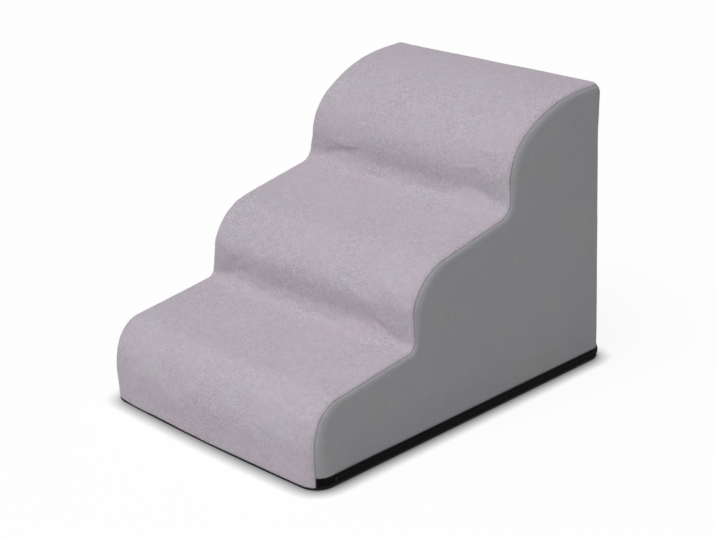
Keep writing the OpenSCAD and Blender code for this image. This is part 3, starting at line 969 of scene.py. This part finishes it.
def walk(plan, pitch):
    """Points at equal distances along a plan: x, y and outward normal. Also gives its length."""
    lengths = along(plan)
    total = lengths[-1]
    count = max(1, round(total / pitch))
    result, k = [], 0
    for i in range(count + 1):
        s = min(total, total * i / count)
        while k < len(plan) - 2 and lengths[k + 1] < s:
            k += 1
        share = (s - lengths[k]) / max(TINY, lengths[k + 1] - lengths[k])
        x, y, nx, ny = (p + (q - p) * share for p, q in zip(plan[k], plan[k + 1]))
        size = math.hypot(nx, ny)
        result.append((x, y, nx / size, ny / size))
    return result, total


def lay_out(bm, lines, lengths, heights):
    """Cloth map in metres along and across a strip that was made line by line."""
    layer = bm.loops.layers.uv["cloth"]
    place = {v: (s, across) for line, across in zip(lines, heights) for v, s in zip(line, lengths)}
    for face in bm.faces:
        for loop in face.loops:
            loop[layer].uv = place[loop.vert]


def closing(s, total):
    """Share by which the tapes' inner edges have met, at that distance along the foot. Past the ends
    of the chain, towards the front seams, the tapes lie edge to edge."""
    from_end = min(s, total - s)
    chain_start = FOOT_R * SEAM_TURN + CHAIN_INSET
    return eased((chain_start - MEET_FROM - from_end) / MEET_OVER)


def zip_tape(name, node, low, inner):
    """A tape, and how its inner edge, which is the upper one where inner is 1, meets the other tape's."""
    plan, total = walk(foot_plan(TAPE_OUT), TAPE_STEP)
    lengths = [total * i / (len(plan) - 1) for i in range(len(plan))]
    heights = [0, SELVEDGE] + TAPE_LINES + [TAPE_W - SELVEDGE, TAPE_W]
    rows = []
    for h in heights:
        inset = SELVEDGE_IN if h in (0, TAPE_W) else 0
        share = h / TAPE_W if inner > 0 else 1 - h / TAPE_W
        row = []
        for (x, y, nx, ny), s in zip(plan, lengths):
            meet = closing(s, total) * (TAPE_GAP / 2 - CLOSE_GAP)
            row.append(Vector((x - nx * inset, y - ny * inset, low + h + inner * meet * share)))
        rows.append(row)
    bm, lines = grid(rows)
    lay_out(bm, lines, lengths, heights)
    outwards(bm, Vector((0, 0, CHAIN_Z)))
    made = piece(name, bm, tape_cloth)
    thicken(made, TAPE_T - CLOSE_GAP)
    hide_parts(node)


def stitch_shape():
    """One lock stitch: a short thread along Z whose ends dip into the tape."""
    bm = bmesh.new()
    bmesh.ops.create_cone(bm, segments=6, radius1=THREAD_R, radius2=THREAD_R, depth=STITCH_L, cap_ends=True)
    cut_across(bm, 2, STITCH_BEND)
    cut_across(bm, 2, -STITCH_BEND)
    for vert in bm.verts:
        if abs(vert.co.z) > (STITCH_BEND + STITCH_L / 2) / 2:
            vert.co.x -= STITCH_DIP
    shape = bpy.data.meshes.new("stitch_shape")
    bm.to_mesh(shape)
    bm.free()
    return shape


def stitches(name, z):
    """A row of lock stitches along a tape, all round the foot."""
    plan, _ = walk(foot_plan(TAPE_OUT + CLOSE_GAP), STITCH_PITCH)
    shape = stitch_shape()
    bm = bmesh.new()
    for a, b in zip(plan, plan[1:]):
        before = len(bm.verts)
        bm.from_mesh(shape)
        bm.verts.ensure_lookup_table()
        outward = Vector((a[2] + b[2], a[3] + b[3], 0)).normalized()
        along_foot = Vector((-outward.y, outward.x, 0))
        turn = Matrix((outward, Vector((0, 0, 1)), along_foot)).transposed()
        middle = Vector(((a[0] + b[0]) / 2, (a[1] + b[1]) / 2, z))
        for vert in bm.verts[before:]:
            vert.co = turn @ vert.co + middle
    bpy.data.meshes.remove(shape)
    bmesh.ops.recalc_face_normals(bm, faces=bm.faces)
    piece(name, bm, thread)


zip_tape("upper_zip_tape", "zip_upper_tape", CHAIN_Z + TAPE_GAP / 2, -1)
zip_tape("lower_zip_tape", "zip_lower_tape", BASE_TOP, 1)
stitches("upper_tape_stitching", ZIP_TOP - STITCH_MARGIN)
stitches("lower_tape_stitching", BASE_TOP + STITCH_MARGIN)


def coil(name, plan, up, start_share):
    """One nylon coil: a flattened spring along the plan. Its heads reach just over the chain's middle."""
    total = along(plan)[-1]
    turns = max(1, int(total / COIL_PITCH))
    places, _ = walk(plan, total / (turns * TURN_POINTS))
    half_w = (CHAIN_W / 2 + HEAD_OVER) / 2 - WIRE_R
    half_t = COIL_T / 2 - WIRE_R
    centre_z = CHAIN_Z + up * (half_w + WIRE_R - HEAD_OVER)
    curve = bpy.data.curves.new(name, "CURVE")
    curve.dimensions = "3D"
    curve.bevel_depth = WIRE_R
    curve.bevel_resolution = 1
    curve.use_fill_caps = True
    spline = curve.splines.new("POLY")
    spline.points.add(len(places) - 1)
    for i, (x, y, nx, ny) in enumerate(places):
        angle = 2 * math.pi * (i / TURN_POINTS + start_share)
        out = half_t * math.sin(angle)
        # the coil is squared off, so its turns bend at the ends and run straight between
        z = centre_z + up * half_w * math.copysign(abs(math.cos(angle)) ** SQUARED, math.cos(angle))
        spline.points[i].co = (x + nx * out, y + ny * out, z, 1)
    holder = bpy.data.objects.new(name + "_curve", curve)
    bpy.context.scene.collection.objects.link(holder)
    bpy.context.view_layer.update()
    mesh = bpy.data.meshes.new_from_object(holder.evaluated_get(bpy.context.evaluated_depsgraph_get()))
    bpy.data.objects.remove(holder)
    bm = bmesh.new()
    bm.from_mesh(mesh)
    bpy.data.meshes.remove(mesh)
    bmesh.ops.recalc_face_normals(bm, faces=bm.faces)
    return piece(name, bm, nylon)


# The slider's travel parts the coils on the left side, so the stretch from LEFT_JOIN to LEFT_END is a
# piece of its own, a small gap short of the rest
LEFT_END = -254.95 * MM
LEFT_JOIN = 255.05 * MM
JOIN_GAP = 0.3 * MM
MID_COIL = TAPE_OUT + COIL_T / 2
LEFT_X = -CORNER_X - FOOT_R - MID_COIL
left_straight = [(LEFT_X, LEFT_JOIN - JOIN_GAP, -1, 0), (LEFT_X, LEFT_END, -1, 0)]
for row, up, start in (("upper", 1, 0.0), ("lower", -1, 0.5)):
    main = coil(row + "_coil", chain_plan(MID_COIL, LEFT_JOIN), up, start)
    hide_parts("zip_" + row + "_coil")
    left = coil(row + "_coil_left", left_straight, up, start)
    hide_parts("zip_" + row + "_coil")
    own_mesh(left)

# Base

# Spacing of its grid, how near a cut goes through a point, and points along its crowned front
BASE_CELL = 12 * MM
BASE_SNAP = 0.1 * MM
FRONT_POINTS = 20
# Its front edge is pressed thinner over this width, to this share of its thickness
PRESSED_W = 14 * MM
PRESSED_TO = 0.6
# Its turned-up edge, a dark sheet that stands in for the shade behind the zip: how far inside the foot's
# outline, spacing of its points, number of its strips, room below it, how far it ends under the top of the
# zip, and thickness
TURN_UP_IN = 1.35 * MM
TURN_UP_STEP = 6 * MM
TURN_UP_STRIPS = 4
TURN_UP_ROOM = 0.1 * MM
TURN_UP_UNDER = 1.6 * MM
TURN_UP_T = 0.3 * MM


def base_plan():
    """The base's plan: the foot's outline outside the tapes, and the crowned front."""
    left = round_corner(-CORNER_X, FRONT_CORNER_Y, FOOT_R, math.pi + SEAM_TURN, math.pi * 1.5)
    right = round_corner(CORNER_X, FRONT_CORNER_Y, FOOT_R, -math.pi / 2, -SEAM_TURN)
    plan = [point[:2] for point in foot_plan(TAPE_OUT) + left]
    for i in range(1, FRONT_POINTS):
        x = CORNER_X * (-1 + 2 * i / FRONT_POINTS)
        plan.append((x, front_y(x)))
    return plan + [point[:2] for point in right]


def front_y(x):
    """Where the foot of the first riser stands at x."""
    if abs(x) <= CORNER_X:
        return FRONT_Y - FRONT_CROWN * (1 - (x / CORNER_X) ** 2)
    return FRONT_CORNER_Y - math.sqrt(max(0, FOOT_R ** 2 - (abs(x) - CORNER_X) ** 2))


def base_cloth():
    """The base fabric, flat. Its front edge is pressed thinner by the seam, and hangs with the plush."""
    bm = bmesh.new()
    bm.faces.new([bm.verts.new((x, y, BASE_TOP)) for x, y in base_plan()])
    bmesh.ops.remove_doubles(bm, verts=bm.verts, dist=BASE_SNAP)
    cells = int(STAIR_D / 2 / BASE_CELL) + 1
    for axis in (0, 1):
        for i in range(-cells, cells + 1):
            cut_across(bm, axis, i * BASE_CELL, snap=BASE_SNAP)
    bmesh.ops.triangulate(bm, faces=[f for f in bm.faces if len(f.verts) > 4])
    for face in bm.faces:
        if face.normal.z < 0:
            face.normal_flip()
    made = piece("base_cloth", bm, canvas)
    thicken(made, BASE_T)
    full = made.vertex_groups.new(name="full_thickness")
    for i, vert in enumerate(made.data.vertices):
        x, y, _ = vert.co
        near = max(0, 1 - (y - front_y(x)) / PRESSED_W) if abs(x) < CORNER_X + FOOT_R else 0
        full.add([i], 1 - near * open_front(x), "REPLACE")
        vert.co.z -= near * hang(x)
    made.modifiers["thickness"].vertex_group = "full_thickness"
    made.modifiers["thickness"].thickness_vertex_group = PRESSED_TO
    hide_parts("base_panel")


def base_turn_up_and_shade_sheet():
    """The edge of the base fabric, turned up behind the zip: a dark sheet that stands in for the shade
    between the coils, so that no foam shows there.
    """
    low, high = BASE_TOP + TURN_UP_ROOM, ZIP_TOP - TURN_UP_UNDER
    plan, total = walk(foot_plan(-TURN_UP_IN), TURN_UP_STEP)
    heights = [low + (high - low) * i / TURN_UP_STRIPS for i in range(TURN_UP_STRIPS + 1)]
    rows = [[Vector((x, y, z)) for x, y, _, _ in plan] for z in heights]
    bm, _ = grid(rows)
    outwards(bm, Vector((0, 0, CHAIN_Z)))
    # black canvas behind the coils, standing in for the shade there
    made = piece("base_turn_up_and_shade_sheet", bm, canvas)
    thicken(made, TURN_UP_T)
    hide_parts("base_panel")


def grip_dots():
    """Flattened drops in rows under the base fabric."""
    bm = bmesh.new()
    columns = int((BODY_HALF - DOT_MARGIN) / DOT_PITCH)
    lines = int((BACK_Y - DOT_MARGIN) / DOT_PITCH)
    size = Matrix.Diagonal((DOT_D / 2, DOT_D / 2, DOT_H, 1))
    for i in range(-columns, columns + 1):
        for j in range(-lines, lines + 1):
            place = Matrix.Translation((i * DOT_PITCH, j * DOT_PITCH, DOT_H))
            bmesh.ops.create_uvsphere(bm, u_segments=12, v_segments=6, radius=1, matrix=place @ size)
    made = piece("grip_dots", bm, pvc)
    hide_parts("base_panel")


base_cloth()
base_turn_up_and_shade_sheet()
grip_dots()


def cast_part(name, edge):
    """A die-cast part keeps its CAD shape, and gets enamel and the soft edges of a casting."""
    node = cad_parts[name]
    for slot in node.material_slots:
        slot.material = zinc
    weld = node.modifiers.new("joined", "WELD")
    weld.merge_threshold = 0.005 * MM
    faces = node.modifiers.new("whole_faces", "DECIMATE")
    faces.decimate_type = "DISSOLVE"
    faces.angle_limit = math.radians(1)
    bevel = node.modifiers.new("cast_edges", "BEVEL")
    bevel.width = edge
    bevel.segments = 2
    bevel.limit_method = "ANGLE"
    bevel.angle_limit = math.radians(35)


cast_part("zip_slider", 0.2 * MM)
cast_part("zip_pull", 0.3 * MM)
cast_part("zip_top_stops", 0.2 * MM)
cast_part("zip_bottom_stop", 0.3 * MM)

# Floor, light and camera

FLOOR_R = 9
SHADE_REACH = 24 * MM
WHITE = (1, 1, 1, 1)
# The camera, solved from the outline in the photograph: its place and its angles, the picture's width in
# pixels, and how many pixels above the picture's middle the line of sight runs
CAMERA_AT = (1.5939, -1.5538, 1.0244)
AZIMUTH, ELEVATION, ROLL = math.radians(45.774), math.radians(19.368), math.radians(-1.373)
PHOTO_W = 716
SIGHT_ABOVE = 50


def to_the_eye(tree):
    """1 where a ray shows the surface to the camera, straight, in a mirror or through glass, else 0."""
    path = add(tree, "LightPath")
    seen = add(tree, "Math", {
        0: path.outputs["Is Camera Ray"], 1: path.outputs["Is Glossy Ray"],
    }, operation="MAXIMUM")
    seen = add(tree, "Math", {0: seen, 1: path.outputs["Is Transmission Ray"]}, operation="MAXIMUM")
    return seen


def matt_white_paint():
    """Matt white wall paint, dull all over. To the camera it is white, with a painted shadow only within 24
    mm of
    what stands on it: most in front and to the right, as under soft light from behind the left side."""
    material, tree, shader = new_material("matt_white_paint")
    seen = to_the_eye(tree)
    # nine tenths of what the camera sees is white with the painted shadow, and the rest is lit as the stairs
    # are
    share = add(tree, "Math", {0: seen, 1: 0.9}, operation="MULTIPLY")
    # the painted shadow: occlusion within SHADE_REACH, seen along a normal leaned to the back left, darkens
    # the white
    tilted = add(tree, "CombineXYZ", {"X": -0.55, "Y": 0.3, "Z": 1.0})
    tilt = add(tree, "VectorMath", {0: tilted}, operation="NORMALIZE")
    near = add(tree, "AmbientOcclusion", {"Distance": SHADE_REACH, "Normal": tilt}, samples=16)
    shade = add(tree, "MapRange", {
        "Value": near.outputs["AO"], "From Min": 0.25, "To Min": 0.02, "To Max": 1.0,
    })
    tone = add(tree, "Mix", {
        SHARE: seen, FIRST: linear("#dcdcdc"), SECOND: linear("#fdfdfd"),
    }, data_type="RGBA")
    feed(tree, shader, {"Base Color": tone, "Roughness": 1.0, "Specular IOR Level": 0.0})
    white = add(tree, "Emission", {"Color": WHITE, "Strength": shade})
    mix = add(tree, "MixShader", {0: share, 1: shader, 2: white})
    feed(tree, tree.nodes["Material Output"], {"Surface": mix})
    return material


def floor():
    """A plain white floor that fills the picture."""
    bm = bmesh.new()
    bmesh.ops.create_circle(bm, cap_ends=True, segments=64, radius=FLOOR_R)
    mesh = bpy.data.meshes.new("floor")
    bm.to_mesh(mesh)
    bm.free()
    mesh.materials.append(matt_white_paint())
    made = bpy.data.objects.new("floor", mesh)
    bpy.context.scene.collection.objects.link(made)


def hang_lamp(name, light, place, target):
    """Hangs a lamp at its place, and turns it to its target."""
    made = bpy.data.objects.new(name, light)
    made.location = place
    made.rotation_euler = (Vector(target) - Vector(place)).to_track_quat("-Z", "Y").to_euler()
    bpy.context.scene.collection.objects.link(made)


def studio():
    """A white surrounding, a wide soft key light from above the front, and a weak fill from the right
    front."""
    world = bpy.data.worlds.new("studio")
    bpy.context.scene.world = world
    world.use_nodes = True
    tree = world.node_tree
    background = tree.nodes["Background"]
    feed(tree, background, {"Color": WHITE, "Strength": 0.25})
    white = add(tree, "Background", {"Color": WHITE, "Strength": 1.0})
    mix = add(tree, "MixShader", {0: to_the_eye(tree), 1: background, 2: white})
    feed(tree, tree.nodes["World Output"], {"Surface": mix})
    key = bpy.data.lights.new("key", "SUN")
    key.energy = 2.15
    key.angle = math.radians(50)
    hang_lamp("key", key, place=(0, 0, 0), target=(0.05, 0.45, -1))
    fill = bpy.data.lights.new("fill", "AREA")
    fill.shape = "DISK"
    fill.size = 1.0
    fill.energy = 6
    hang_lamp("fill", fill, place=(1.7, -1.9, 0.9), target=(0.1, -0.2, 0.15))


def camera():
    """The camera at the photograph's place."""
    data = bpy.data.cameras.new("camera")
    data.sensor_width = 36
    data.lens = 83.27
    data.shift_y = -SIGHT_ABOVE / PHOTO_W
    made = bpy.data.objects.new("camera", data)
    level = math.cos(ELEVATION)
    back = Vector((math.sin(AZIMUTH) * level, -math.cos(AZIMUTH) * level, math.sin(ELEVATION)))
    turn = (-back).to_track_quat("-Z", "Y").to_matrix() @ Matrix.Rotation(ROLL, 3, "Z")
    made.matrix_world = Matrix.Translation(CAMERA_AT) @ turn.to_4x4()
    bpy.context.scene.collection.objects.link(made)
    bpy.context.scene.camera = made


floor()
studio()
camera()
bpy.context.scene.view_settings.view_transform = "Standard"
